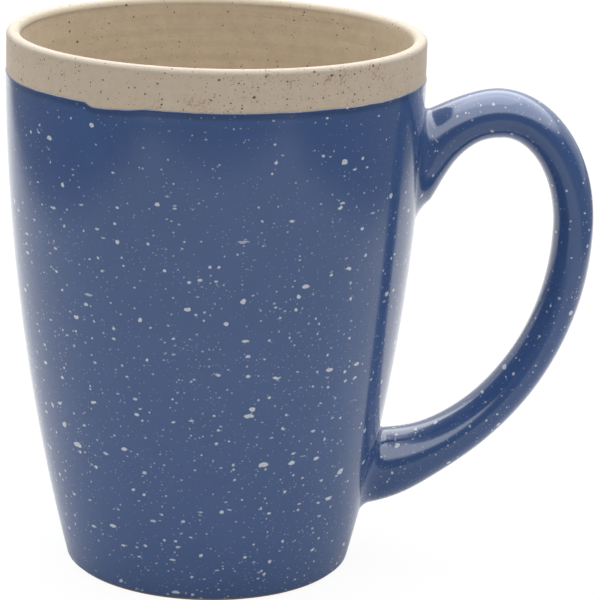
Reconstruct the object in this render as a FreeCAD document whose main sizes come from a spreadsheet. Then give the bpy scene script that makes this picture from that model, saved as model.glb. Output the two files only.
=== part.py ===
import FreeCAD, Part
import math
import os
import Sketcher

# A stoneware mug: a turned clay cup, a pulled clay handle joined on with slip, and four
# glaze coats. Millimetres, +Z up. The origin is on the cup's axis, at the table, and the
# handle points along +X.

SIZES = {
    "overall_height": (115.0, "table to the top of the glazed lip"),
    "rim_diameter": (87.4, "across the outside of the glazed lip"),
    "foot_diameter": (60.8, "across the outside of the glaze, carried down to the table"),
    "widest_below_rim": (7.0, "how far below the lip the cup is widest"),
    "wall_thickness": (2.3, "bare clay wall"),
    "floor_height": (8.2, "table to the top of the clay floor"),
    "floor_corner": (11.0, "radius between the clay floor and the clay wall"),
    "lip_radius": (1.5, "rounding of the glazed lip, on both its edges"),
    "glaze_thickness": (0.5, "every coat of glaze"),
    "band_depth": (8.3, "how far the cream glaze comes down over the outside"),
    "foot_corner": (0.5, "rounding of the clay at the outside of the foot ring"),
    "bare_strip": (0.15, "bare clay between the foot's rounding and the blue glaze"),
    "foot_ring_width": (4.6, "width of the foot ring, rounding included"),
    "foot_ring_edge": (0.6, "rounding at the inside of the foot ring"),
    "recess_depth": (2.4, "table to the clay of the recess under the floor"),
    "recess_corner": (1.2, "radius between the recess's clay and the foot ring"),
    "recess_bare_ring": (1.6, "bare clay between the base glaze and the foot ring"),
    "slip_thickness": (0.4, "slip between the handle and the clay wall"),
    "handle_projection": (37.6, "cup wall at the upper root to the outside of the grip"),
    "grip_height": (74.0, "table to the widest point of the grip"),
    "grip_thickness": (8.45, "glazed grip, in the handle's plane"),
    "grip_breadth": (13.2, "glazed grip, across the handle"),
    "handle_top": (103.7, "table to the highest point of the handle"),
    "crown_distance": (16.5, "cup wall at the upper root to the handle's highest point"),
    "crown_thickness": (10.3, "glazed handle at its highest point"),
    "upper_root_height": (89.1, "table to the middle of the upper root"),
    "upper_root_size": (17.5, "glazed handle where it meets the wall at the top"),
    "upper_root_tilt": (24.0, "tilt of the sections at the upper root, in degrees"),
    "lower_root_height": (19.9, "table to the middle of the lower root"),
    "lower_root_size": (16.6, "glazed handle where it meets the wall at the bottom"),
    "lower_sweep_inset": (8.4, "from the wall at the lower root in to the sweep's centre"),
}

# Values worked out from the sizes, each an expression on the sheet or on an earlier one.
# The outside of the cup is one arc, turned about the axis. It passes through the foot's
# and the lip's radius, and is upright where the cup is widest. The other faces of the
# wall are arcs about the same centre.
WORKED = {
    "rim_radius": "Sizes.rim_diameter / 2",
    "foot_radius": "Sizes.foot_diameter / 2",
    "centre_height": "Sizes.overall_height - Sizes.widest_below_rim",
    "centre_reach": "(Worked.foot_radius ^ 2 + Worked.centre_height ^ 2"
                    " - Worked.rim_radius ^ 2 - Sizes.widest_below_rim ^ 2)"
                    " / (2 * (Worked.rim_radius - Worked.foot_radius))",
    "outer_curve": "sqrt((Worked.rim_radius + Worked.centre_reach) ^ 2"
                   " + Sizes.widest_below_rim ^ 2)",
    "clay_curve": "Worked.outer_curve - Sizes.glaze_thickness",
    "slip_curve": "Worked.clay_curve + Sizes.slip_thickness",
    "bore_curve": "Worked.clay_curve - Sizes.wall_thickness",
    "liner_curve": "Worked.bore_curve - Sizes.glaze_thickness",
    "band_height": "Sizes.overall_height - Sizes.band_depth",
    "clay_top": "Sizes.overall_height - Sizes.glaze_thickness",
    "clay_lip_radius": "Sizes.lip_radius - Sizes.glaze_thickness",
    "liner_floor": "Sizes.floor_height + Sizes.glaze_thickness",
    "liner_corner": "Sizes.floor_corner - Sizes.glaze_thickness",
    "coat_bottom": "Sizes.foot_corner + Sizes.bare_strip",
    "ring_inside": "sqrt(Worked.clay_curve ^ 2 - Worked.centre_height ^ 2)"
                   " - Worked.centre_reach - Sizes.foot_ring_width",
    "upper_wall": "sqrt(Worked.outer_curve ^ 2 - (Sizes.upper_root_height"
                  " - Worked.centre_height) ^ 2) - Worked.centre_reach",
    "lower_wall": "sqrt(Worked.outer_curve ^ 2 - (Sizes.lower_root_height"
                  " - Worked.centre_height) ^ 2) - Worked.centre_reach",
    "grip_x": "Worked.upper_wall + Sizes.handle_projection - Sizes.grip_thickness / 2",
    "crown_x": "Worked.upper_wall + Sizes.crown_distance",
    "crown_z": "Sizes.handle_top - Sizes.crown_thickness / 2",
    "crown_drop": "Worked.crown_z - Sizes.upper_root_height",
    "sweep_x": "Worked.lower_wall - Sizes.lower_sweep_inset",
    "sweep_reach": "Worked.grip_x - Worked.sweep_x",
    "sweep_drop": "(Sizes.grip_height - Sizes.lower_root_height)"
                  " / sqrt(1 - (Sizes.lower_sweep_inset / Worked.sweep_reach) ^ 2)",
    "joint_split": "(Sizes.upper_root_height + Sizes.lower_root_height) / 2",
}

# The handle's sections, from the upper root to the lower. Each is a place on the handle's
# line and a share of the root's swell: nothing on the grip, all of it at the wall.
# Upper root: share of the way from the crown to the wall. The first section lies inside
# the wall, where the cup's shape trims it off, and so does the last one below.
UPPER_ROOT = ((1.36, 0.64), (1.1, 1.0), (0.88, 0.6), (0.7, 0.27), (0.5, 0.08), (0.26, 0.0))
# Upper quarter, from the crown to the grip: degrees above the grip.
UPPER_QUARTER = (90, 67, 45, 22)
# Lower sweep, from the grip to the wall: degrees below the grip.
LOWER_SWEEP = ((0, 0.0), (18, 0.02), (36, 0.07), (52, 0.2), (65, 0.45), (76, 0.85), (88, 1.0))


def make_sheet(doc):
    """Write the driving sizes into a spreadsheet, each cell with its alias."""
    sheet = doc.addObject("Spreadsheet::Sheet", "Sizes")
    for row, (alias, (value, note)) in enumerate(SIZES.items(), start=1):
        sheet.set(f"A{row}", alias)
        sheet.set(f"B{row}", str(value))
        sheet.setAlias(f"B{row}", alias)
        sheet.set(f"C{row}", note)
    doc.recompute()
    return sheet


def make_worked(doc):
    """Hold the worked-out values as properties that follow the sheet."""
    worked = doc.addObject("App::VarSet", "Worked")
    for name, expression in WORKED.items():
        worked.addProperty("App::PropertyFloat", name, "Worked")
        worked.setExpression(name, expression)
    doc.recompute()
    return worked


class Profile:
    """A closed half-section on a body's XZ plane, with every size bound to the sheet."""

    def __init__(self, body, name):
        self.sketch = body.newObject("Sketcher::SketchObject", name)
        plane = next(f for f in body.Origin.OriginFeatures if f.Role == "XZ_Plane")
        self.sketch.AttachmentSupport = [(plane, "")]
        self.sketch.MapMode = "FlatFace"

    def value(self, expression):
        """The number that an expression comes to now, to draw the sketch near its solution."""
        return float(self.sketch.evalExpression(expression))

    def bind(self, *constraint, to):
        """Add a constraint whose value follows an expression."""
        index = self.sketch.addConstraint(Sketcher.Constraint(*constraint, self.value(to)))
        self.sketch.setExpression(f"Constraints[{index}]", to)

    def relate(self, *constraint):
        self.sketch.addConstraint(Sketcher.Constraint(*constraint))

    def line(self, start, end):
        segment = Part.LineSegment(FreeCAD.Vector(*start, 0), FreeCAD.Vector(*end, 0))
        return self.sketch.addGeometry(segment, False)

    def arc(self, centre, radius, start, end):
        """An anticlockwise arc between the directions of two points."""
        angles = [math.atan2(p[1] - centre[1], p[0] - centre[0]) for p in (start, end)]
        circle = Part.Circle(FreeCAD.Vector(*centre, 0), FreeCAD.Vector(0, 0, 1), radius)
        return self.sketch.addGeometry(Part.ArcOfCircle(circle, *angles), False)

    def wall_centre(self):
        return -self.value("Worked.centre_reach"), self.value("Worked.centre_height")

    def on_wall(self, curve, height, offset=0.0):
        """The point at a height, a distance outside a wall arc."""
        reach, level = self.wall_centre()
        radius = self.value(curve) + offset
        return reach + math.sqrt(radius ** 2 - (height - level) ** 2), height

    def wall(self, curve, low, high):
        """A wall arc between two heights, its centre and radius bound."""
        index = self.arc(self.wall_centre(), self.value(curve),
                         self.on_wall(curve, low), self.on_wall(curve, high))
        self.bind("DistanceX", index, 3, -1, 1, to="Worked.centre_reach")
        self.bind("DistanceY", -1, 1, index, 3, to="Worked.centre_height")
        self.bind("Radius", index, to=curve)
        return index

    def height(self, index, point, to):
        """Bind the height of a piece's end (1 start, 2 end)."""
        self.bind("DistanceY", -1, 1, index, point, to=to)

    def bowl(self, outer, inner, top, lip, floor, corner, bottom):
        """Floor, floor corner, inner wall, lip and outer wall of one surface of the cup.

        Every argument is an expression. Returns the floor line, whose start is on the
        axis, and the outer wall's arc, whose start is its lower end.
        """
        top_z, lip_r = self.value(top), self.value(lip)
        floor_z, corner_r = self.value(floor), self.value(corner)
        corner_mid = self.on_wall(inner, floor_z + corner_r, -corner_r)
        inner_mid = self.on_wall(inner, top_z - lip_r, lip_r)
        outer_mid = self.on_wall(outer, top_z - lip_r, -lip_r)
        corner_high = self.on_wall(inner, floor_z + corner_r)
        inner_high = self.on_wall(inner, top_z - lip_r)
        outer_high = self.on_wall(outer, top_z - lip_r)
        floor_line = self.line((0, floor_z), (corner_mid[0], floor_z))
        corner_arc = self.arc(corner_mid, corner_r, (corner_mid[0], floor_z), corner_high)
        inner_wall = self.wall(inner, corner_high[1], inner_high[1])
        inner_lip = self.arc(inner_mid, lip_r, (inner_mid[0], top_z), inner_high)
        lip_line = self.line((inner_mid[0], top_z), (outer_mid[0], top_z))
        outer_lip = self.arc(outer_mid, lip_r, outer_high, (outer_mid[0], top_z))
        outer_wall = self.wall(outer, self.value(bottom), outer_high[1])
        self.relate("PointOnObject", floor_line, 1, -2)
        self.relate("Horizontal", floor_line)
        self.height(floor_line, 1, floor)
        self.relate("Tangent", floor_line, 2, corner_arc, 1)
        self.relate("Tangent", corner_arc, 2, inner_wall, 1)
        self.bind("Radius", corner_arc, to=corner)
        self.relate("Tangent", inner_wall, 2, inner_lip, 2)
        self.bind("Radius", inner_lip, to=lip)
        self.relate("Tangent", inner_lip, 1, lip_line, 1)
        self.relate("Horizontal", lip_line)
        self.height(lip_line, 1, top)
        self.relate("Tangent", lip_line, 2, outer_lip, 2)
        self.bind("Radius", outer_lip, to=lip)
        self.relate("Tangent", outer_lip, 1, outer_wall, 2)
        return floor_line, outer_wall

    def shell(self, outer, inner, low, high):
        """The section of a coat between two wall arcs and two heights."""
        low_z, high_z = self.value(low), self.value(high)
        outside, inside = self.wall(outer, low_z, high_z), self.wall(inner, low_z, high_z)
        lower = self.line(self.on_wall(inner, low_z), self.on_wall(outer, low_z))
        upper = self.line(self.on_wall(inner, high_z), self.on_wall(outer, high_z))
        for edge, end, expression in ((lower, 1, low), (upper, 2, high)):
            self.relate("Coincident", edge, 1, inside, end)
            self.relate("Coincident", edge, 2, outside, end)
            self.relate("Horizontal", edge)
            self.height(edge, 1, expression)

    def plug(self, outer, top):
        """The section of everything inside a wall arc, from the table to a height."""
        top_z = self.value(top)
        wall = self.wall(outer, 0.0, top_z)
        base = self.line((0, 0), self.on_wall(outer, 0.0))
        lid = self.line(self.on_wall(outer, top_z), (0, top_z))
        axis = self.line((0, top_z), (0, 0))
        self.relate("Coincident", base, 1, -1, 1)
        self.relate("Coincident", base, 2, wall, 1)
        self.relate("Horizontal", base)
        self.relate("Coincident", wall, 2, lid, 1)
        self.relate("Horizontal", lid)
        self.relate("Coincident", lid, 2, axis, 1)
        self.relate("Coincident", axis, 2, base, 1)
        self.relate("Vertical", axis)
        self.height(lid, 2, top)


def turned_body(doc, name, draw):
    """A body whose one feature turns a half-section about the cup's axis."""
    body = doc.addObject("PartDesign::Body", name)
    profile = Profile(body, f"{name}_section")
    draw(profile)
    turn = body.newObject("PartDesign::Revolution", f"{name}_turn")
    turn.Profile = profile.sketch
    turn.ReferenceAxis = (profile.sketch, ["V_Axis"])
    turn.Angle = 360.0
    doc.recompute()
    return body


def draw_cup(profile):
    """Clay cup: bowl, wall, rounded foot and the recess inside the foot ring."""
    floor_line, outer_wall = profile.bowl(
        "Worked.clay_curve", "Worked.bore_curve", "Worked.clay_top", "Worked.clay_lip_radius",
        "Sizes.floor_height", "Sizes.floor_corner", "Sizes.foot_corner")
    foot_r = profile.value("Sizes.foot_corner")
    edge_r = profile.value("Sizes.foot_ring_edge")
    recess_z = profile.value("Sizes.recess_depth")
    recess_r = profile.value("Sizes.recess_corner")
    ring_x = profile.value("Worked.ring_inside")
    foot_mid = profile.on_wall("Worked.clay_curve", foot_r, -foot_r)
    foot_high = profile.on_wall("Worked.clay_curve", foot_r)
    foot_arc = profile.arc(foot_mid, foot_r, (foot_mid[0], 0), foot_high)
    foot_face = profile.line((foot_mid[0], 0), (ring_x + edge_r, 0))
    edge_arc = profile.arc((ring_x + edge_r, edge_r), edge_r, (ring_x, edge_r),
                           (ring_x + edge_r, 0))
    ring_wall = profile.line((ring_x, edge_r), (ring_x, recess_z - recess_r))
    recess_mid = (ring_x - recess_r, recess_z - recess_r)
    recess_arc = profile.arc(recess_mid, recess_r, (ring_x, recess_mid[1]),
                             (recess_mid[0], recess_z))
    recess_line = profile.line((recess_mid[0], recess_z), (0, recess_z))
    axis = profile.line((0, recess_z), (0, profile.value("Sizes.floor_height")))
    profile.relate("Tangent", outer_wall, 1, foot_arc, 2)
    profile.bind("Radius", foot_arc, to="Sizes.foot_corner")
    profile.relate("Tangent", foot_arc, 1, foot_face, 1)
    profile.relate("PointOnObject", foot_face, 1, -1)
    profile.relate("Horizontal", foot_face)
    profile.relate("Tangent", foot_face, 2, edge_arc, 2)
    profile.bind("Radius", edge_arc, to="Sizes.foot_ring_edge")
    profile.relate("Tangent", edge_arc, 1, ring_wall, 1)
    profile.relate("Vertical", ring_wall)
    profile.bind("DistanceX", -1, 1, ring_wall, 1, to="Worked.ring_inside")
    profile.relate("Tangent", ring_wall, 2, recess_arc, 1)
    profile.bind("Radius", recess_arc, to="Sizes.recess_corner")
    profile.relate("Tangent", recess_arc, 2, recess_line, 1)
    profile.relate("Horizontal", recess_line)
    profile.height(recess_line, 2, "Sizes.recess_depth")
    profile.relate("Coincident", recess_line, 2, axis, 1)
    profile.relate("PointOnObject", axis, 1, -2)
    profile.relate("Coincident", axis, 2, floor_line, 1)


def draw_cream(profile):
    """Cream glaze: the whole inside, over the lip, and the band round the outside."""
    skin_floor, skin_wall = profile.bowl(
        "Worked.outer_curve", "Worked.liner_curve", "Sizes.overall_height", "Sizes.lip_radius",
        "Worked.liner_floor", "Worked.liner_corner", "Worked.band_height")
    clay_floor, clay_wall = profile.bowl(
        "Worked.clay_curve", "Worked.bore_curve", "Worked.clay_top", "Worked.clay_lip_radius",
        "Sizes.floor_height", "Sizes.floor_corner", "Worked.band_height")
    band_z = profile.value("Worked.band_height")
    edge = profile.line(profile.on_wall("Worked.clay_curve", band_z),
                        profile.on_wall("Worked.outer_curve", band_z))
    axis = profile.line((0, profile.value("Worked.liner_floor")),
                        (0, profile.value("Sizes.floor_height")))
    profile.relate("Coincident", edge, 1, clay_wall, 1)
    profile.relate("Coincident", edge, 2, skin_wall, 1)
    profile.relate("Horizontal", edge)
    profile.height(edge, 1, "Worked.band_height")
    profile.relate("Coincident", axis, 1, skin_floor, 1)
    profile.relate("Coincident", axis, 2, clay_floor, 1)


def add_section(doc, name, place, tilt, thickness, breadth, skin):
    """One oval section of the handle, upright across it, bound to the sheet.

    tilt is the direction that the handle runs in, in degrees above +X. skin is what
    comes off all round: nothing for the glazed surface, the glaze for the bare clay.
    """
    oval = doc.addObject("Part::Ellipse", name)
    oval.setExpression("MajorRadius", f"({breadth}) / 2 - {skin}")
    oval.setExpression("MinorRadius", f"({thickness}) / 2 - {skin}")
    centre = f"vector({place[0]}; 0; {place[1]})"
    oval.setExpression("Placement", f"placement({centre}; rotation(90; 0; 90 - ({tilt})))")
    return oval


def swell(base, size, share):
    """A size on the way from the handle's own to its root's."""
    return f"{base} + ({size} - {base}) * {share}"


def make_handle_loft(doc, name, skin):
    """The handle from inside the wall at the top to inside the wall at the bottom."""
    ovals = []

    def section(place, tilt, thickness, breadth):
        ovals.append(add_section(doc, f"{name}_oval_{len(ovals):02d}", place, tilt,
                                 thickness, breadth, skin))

    for share, root in UPPER_ROOT:
        place = (f"Worked.crown_x - Sizes.crown_distance * {share}",
                 f"Worked.crown_z - Worked.crown_drop * {share} ^ 2")
        section(place, f"Sizes.upper_root_tilt * (1 - (1 - {share}) ^ 2)",
                swell("Sizes.crown_thickness", "Sizes.upper_root_size", root),
                swell("Sizes.grip_breadth", "Sizes.upper_root_size", root))
    reach, rise = "(Worked.grip_x - Worked.crown_x)", "(Worked.crown_z - Sizes.grip_height)"
    for angle in UPPER_QUARTER:
        cos, sin = f"cos({angle} deg)", f"sin({angle} deg)"
        place = (f"Worked.crown_x + {reach} * {cos}", f"Sizes.grip_height + {rise} * {sin}")
        section(place, f"-atan2({rise} * {cos}; {reach} * {sin}) / 1 deg",
                swell("Sizes.grip_thickness", "Sizes.crown_thickness", f"({angle} / 90) ^ 2"),
                "Sizes.grip_breadth")
    for angle, root in LOWER_SWEEP:
        cos, sin = f"cos({angle} deg)", f"sin({angle} deg)"
        place = (f"Worked.sweep_x + Worked.sweep_reach * {cos}",
                 f"Sizes.grip_height - Worked.sweep_drop * {sin}")
        section(place,
                f"-180 + atan2(Worked.sweep_drop * {cos}; Worked.sweep_reach * {sin}) / 1 deg",
                swell("Sizes.grip_thickness", "Sizes.lower_root_size", root),
                swell("Sizes.grip_breadth", "Sizes.lower_root_size", root))
    loft = doc.addObject("Part::Loft", name)
    loft.Sections = ovals
    loft.Solid = True
    loft.Ruled = False
    doc.recompute()
    return loft


def cut(doc, name, base, tool):
    """What is left of the base outside the tool."""
    result = doc.addObject("Part::Cut", name)
    result.Base, result.Tool = base, tool
    doc.recompute()
    return result


def common(doc, name, base, tool):
    """What the base and the tool share."""
    result = doc.addObject("Part::Common", name)
    result.Base, result.Tool = base, tool
    doc.recompute()
    return result


def make_mug(doc):
    """Build every sub-part and return them in the order they are made in the pottery."""
    glazed_loft = make_handle_loft(doc, "handle_glazed", "0")
    clay_loft = make_handle_loft(doc, "handle_clay", "Sizes.glaze_thickness")
    glazed_plug = turned_body(doc, "glazed_plug", lambda p: p.plug(
        "Worked.outer_curve", "Sizes.overall_height"))
    slip_plug = turned_body(doc, "slip_plug", lambda p: p.plug(
        "Worked.slip_curve", "Sizes.overall_height"))
    upper_slip_ring = turned_body(doc, "upper_slip_ring", lambda p: p.shell(
        "Worked.slip_curve", "Worked.clay_curve", "Worked.joint_split", "Worked.band_height"))
    lower_slip_ring = turned_body(doc, "lower_slip_ring", lambda p: p.shell(
        "Worked.slip_curve", "Worked.clay_curve", "Worked.coat_bottom", "Worked.joint_split"))
    blue_coat = turned_body(doc, "blue_coat", lambda p: p.shell(
        "Worked.outer_curve", "Worked.clay_curve", "Worked.coat_bottom", "Worked.band_height"))

    cup_body = turned_body(doc, "cup_body", draw_cup)
    handle = cut(doc, "handle", clay_loft, slip_plug)
    upper_slip = common(doc, "upper_slip_joint", clay_loft, upper_slip_ring)
    lower_slip = common(doc, "lower_slip_joint", clay_loft, lower_slip_ring)
    cream_glaze = turned_body(doc, "cream_liner_glaze", draw_cream)
    blue_glaze = cut(doc, "blue_body_glaze", blue_coat, clay_loft)
    handle_skin = cut(doc, "handle_skin", glazed_loft, clay_loft)
    handle_glaze = cut(doc, "blue_handle_glaze", handle_skin, glazed_plug)

    base_glaze = doc.addObject("Part::Cylinder", "base_glaze")
    base_glaze.setExpression(
        "Radius", "Worked.ring_inside - Sizes.recess_corner - Sizes.recess_bare_ring")
    base_glaze.setExpression("Height", "Sizes.glaze_thickness")
    base_glaze.setExpression("Placement.Base.z", "Sizes.recess_depth - Sizes.glaze_thickness")
    doc.recompute()
    return [cup_body, handle, upper_slip, lower_slip, cream_glaze, blue_glaze,
            handle_glaze, base_glaze]


def check_and_write(doc, subparts):
    """Refuse a failed feature or a bad shape, then write one STEP file per sub-part."""
    failed = [o.Name for o in doc.Objects if {"Invalid", "Error"} & set(o.State)]
    if failed:
        raise RuntimeError("features that failed: " + ", ".join(failed))
    for part in subparts:
        if part.Shape.isNull() or not part.Shape.isValid() or not part.Shape.Solids:
            raise RuntimeError(f"{part.Label} has no valid solid")
    os.makedirs("parts", exist_ok=True)
    for part in subparts:
        part.Shape.exportStep(f"parts/{part.Label}.step")
        box = part.Shape.BoundBox
        print(f"{part.Label}: {len(part.Shape.Solids)} solid, {part.Shape.Volume / 1000:.2f} cm3, "
              f"{box.XLength:.1f} x {box.YLength:.1f} x {box.ZLength:.1f} mm, "
              f"z {box.ZMin:.2f} to {box.ZMax:.2f}")


def main():
    doc = FreeCAD.newDocument("stoneware_mug")
    make_sheet(doc)
    make_worked(doc)
    check_and_write(doc, make_mug(doc))


main()
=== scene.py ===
"""Speckled stoneware mug: turned glaze coats, a pulled handle and a plain studio.

Every length is in metres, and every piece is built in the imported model's frame: the cup's
axis is +Z, the table is z = 0 and the handle points along +X.
"""

import logging
import math
from dataclasses import dataclass, field
from enum import Enum
from typing import Any, Callable, Iterable

import bpy
from mathutils import Matrix, Vector


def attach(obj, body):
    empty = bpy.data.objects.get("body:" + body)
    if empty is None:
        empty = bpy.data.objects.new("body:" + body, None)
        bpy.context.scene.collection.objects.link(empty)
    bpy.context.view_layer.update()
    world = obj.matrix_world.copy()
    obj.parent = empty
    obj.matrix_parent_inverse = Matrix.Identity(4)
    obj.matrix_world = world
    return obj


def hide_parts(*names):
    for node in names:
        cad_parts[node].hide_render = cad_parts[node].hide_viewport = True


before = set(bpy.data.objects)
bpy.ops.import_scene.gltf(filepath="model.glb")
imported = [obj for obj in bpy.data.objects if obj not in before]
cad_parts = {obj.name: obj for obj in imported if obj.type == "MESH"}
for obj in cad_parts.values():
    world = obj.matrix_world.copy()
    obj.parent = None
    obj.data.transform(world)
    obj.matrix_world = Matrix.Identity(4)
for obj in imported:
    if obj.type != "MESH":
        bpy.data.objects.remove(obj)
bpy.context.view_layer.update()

MM = 0.001
TURN = 2.0 * math.pi
log = logging.getLogger("mug")

Socket = bpy.types.NodeSocket
Colour = tuple[float, float, float, float]
Pair = tuple[float, float]


def grey(level: float) -> Colour:
    """A grey, or white at 1."""
    return level, level, level, 1.0


def put(name: str, data: bpy.types.ID) -> bpy.types.Object:
    """Add an object to the scene.

    Args:
        name: Its name.
        data: What it is made of.

    Returns:
        The object.
    """
    made = bpy.data.objects.new(name, data)
    bpy.context.scene.collection.objects.link(made)
    return made


# --------------------------------------------------------------------------- node benches


def _operator(operation: str, turned: bool = False) -> Callable[[Any, Any], Any]:
    """Make the method behind one of Python's operators.

    Args:
        operation: The operation of the node that it adds.
        turned: Whether the wrapped value is the right-hand one.

    Returns:
        The method.
    """
    def method(self: Any, other: Any) -> Any:
        """Add the node and wrap what comes out of it."""
        return self.work(operation, *((other, self) if turned else (self, other)))
    return method


@dataclass(eq=False)
class Flow:
    """A number running through a node tree. Sums on it add Math nodes."""

    bench: "Bench"
    socket: Socket

    def work(self, operation: str, *values: Any) -> "Flow":
        """Add a Math node on the flow's own bench."""
        return self.bench.sum(operation, *values)

    __add__, __radd__ = _operator("ADD"), _operator("ADD", turned=True)
    __sub__, __rsub__ = _operator("SUBTRACT"), _operator("SUBTRACT", turned=True)
    __mul__, __rmul__ = _operator("MULTIPLY"), _operator("MULTIPLY", turned=True)
    __truediv__, __rtruediv__ = _operator("DIVIDE"), _operator("DIVIDE", turned=True)
    __pow__ = _operator("POWER")
    __gt__, __lt__ = _operator("GREATER_THAN"), _operator("LESS_THAN")

    def __neg__(self) -> "Flow":
        """-self."""
        return self * -1.0

    def clamped(self) -> "Flow":
        """The number kept between 0 and 1."""
        return self.work("MAXIMUM", self.work("MINIMUM", self, 1.0), 0.0)


@dataclass(eq=False)
class Arrow:
    """A vector running through a node tree. Sums on it add Vector Math nodes."""

    bench: "Bench"
    socket: Socket
    parts: bpy.types.Node | None = None

    def work(self, operation: str, *values: Any) -> "Arrow":
        """Add a Vector Math node on the arrow's own bench."""
        return Arrow(self.bench, self.bench.arrow_node(operation, *values).outputs["Vector"])

    __add__, __radd__ = _operator("ADD"), _operator("ADD", turned=True)
    __sub__, __rsub__ = _operator("SUBTRACT"), _operator("SUBTRACT", turned=True)

    def __mul__(self, other: Any) -> "Arrow":
        """Scale the vector.

        Args:
            other: A number, or a vector that scales it part by part.

        Returns:
            The scaled vector.
        """
        if isinstance(other, (Arrow, tuple)):
            return self.work("MULTIPLY", self, other)
        made = self.bench.node("ShaderNodeVectorMath", {"operation": "SCALE"},
                               {0: self, "Scale": other})
        return Arrow(self.bench, made.outputs["Vector"])

    __rmul__ = __mul__

    def dot(self, other: Any) -> Flow:
        """The dot product with another vector."""
        return Flow(self.bench,
                    self.bench.arrow_node("DOT_PRODUCT", self, other).outputs["Value"])

    def length(self) -> Flow:
        """How long the vector is."""
        return Flow(self.bench, self.bench.arrow_node("LENGTH", self).outputs["Value"])

    def unit(self) -> "Arrow":
        """The vector at length 1."""
        return self.work("NORMALIZE", self)

    def part(self, axis: str) -> Flow:
        """One of the vector's parts, "X", "Y" or "Z", as a number."""
        if self.parts is None:
            self.parts = self.bench.node("ShaderNodeSeparateXYZ", {}, {"Vector": self})
        return Flow(self.bench, self.parts.outputs[axis])


class Bench:
    """A node tree being laid out, one node at a time."""

    def __init__(self, tree: bpy.types.NodeTree) -> None:
        """Take a tree to work on."""
        self.tree = tree

    def node(self, kind: str, settings: dict[str, Any] | None = None,
             values: dict[str | int, Any] | None = None) -> bpy.types.Node:
        """Add one node.

        Args:
            kind: The node's type.
            settings: The node's own settings, set first.
            values: What each input gets, by its name or number: a link or a plain value.

        Returns:
            The node.
        """
        made = self.tree.nodes.new(kind)
        for name, setting in (settings or {}).items():
            setattr(made, name, setting)
        for key, value in (values or {}).items():
            self.feed(made.inputs[key], value)
        return made

    def feed(self, socket: Socket, value: Any) -> None:
        """Link an input, or set it where the value is plain.

        Args:
            socket: The input.
            value: A Flow, an Arrow, an output socket, or a plain value.
        """
        if isinstance(value, (Flow, Arrow)):
            value = value.socket
        if isinstance(value, Socket):
            self.tree.links.new(value, socket)
        else:
            socket.default_value = value

    def sum(self, operation: str, *values: Any) -> Flow:
        """Add a Math node whose inputs get the values in order, and give its number."""
        made = self.node("ShaderNodeMath", {"operation": operation}, dict(enumerate(values)))
        return Flow(self, made.outputs["Value"])

    def arrow_node(self, operation: str, *values: Any) -> bpy.types.Node:
        """Add a Vector Math node whose inputs get the values in order."""
        return self.node("ShaderNodeVectorMath", {"operation": operation},
                         dict(enumerate(values)))

    def arrow(self, x: Any, y: Any, z: Any) -> Arrow:
        """A vector made from three numbers."""
        made = self.node("ShaderNodeCombineXYZ", {}, {"X": x, "Y": y, "Z": z})
        return Arrow(self, made.outputs["Vector"])

    def ease(self, value: Any, low: Any, high: Any) -> Flow:
        """A smooth climb from 0 at low to 1 at high.

        Args:
            value: The number that is followed.
            low: Where the climb starts.
            high: Where it ends.

        Returns:
            The climb, between 0 and 1.
        """
        made = self.node("ShaderNodeMapRange", {"interpolation_type": "SMOOTHSTEP"},
                         {"Value": value, "From Min": low, "From Max": high,
                          "To Min": 0.0, "To Max": 1.0})
        return Flow(self, made.outputs["Result"])

    def noise(self, place: Arrow, scale: float = 1.0, detail: float = 2.0) -> Flow:
        """Smooth noise about 0.5.

        Args:
            place: Where it is read.
            scale: Features per unit of place.
            detail: Octaves.

        Returns:
            The noise.
        """
        made = self.node("ShaderNodeTexNoise", {"noise_dimensions": "3D"},
                         {"Vector": place, "Scale": scale, "Detail": detail, "Roughness": 0.5})
        return Flow(self, made.outputs["Fac"])


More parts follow.
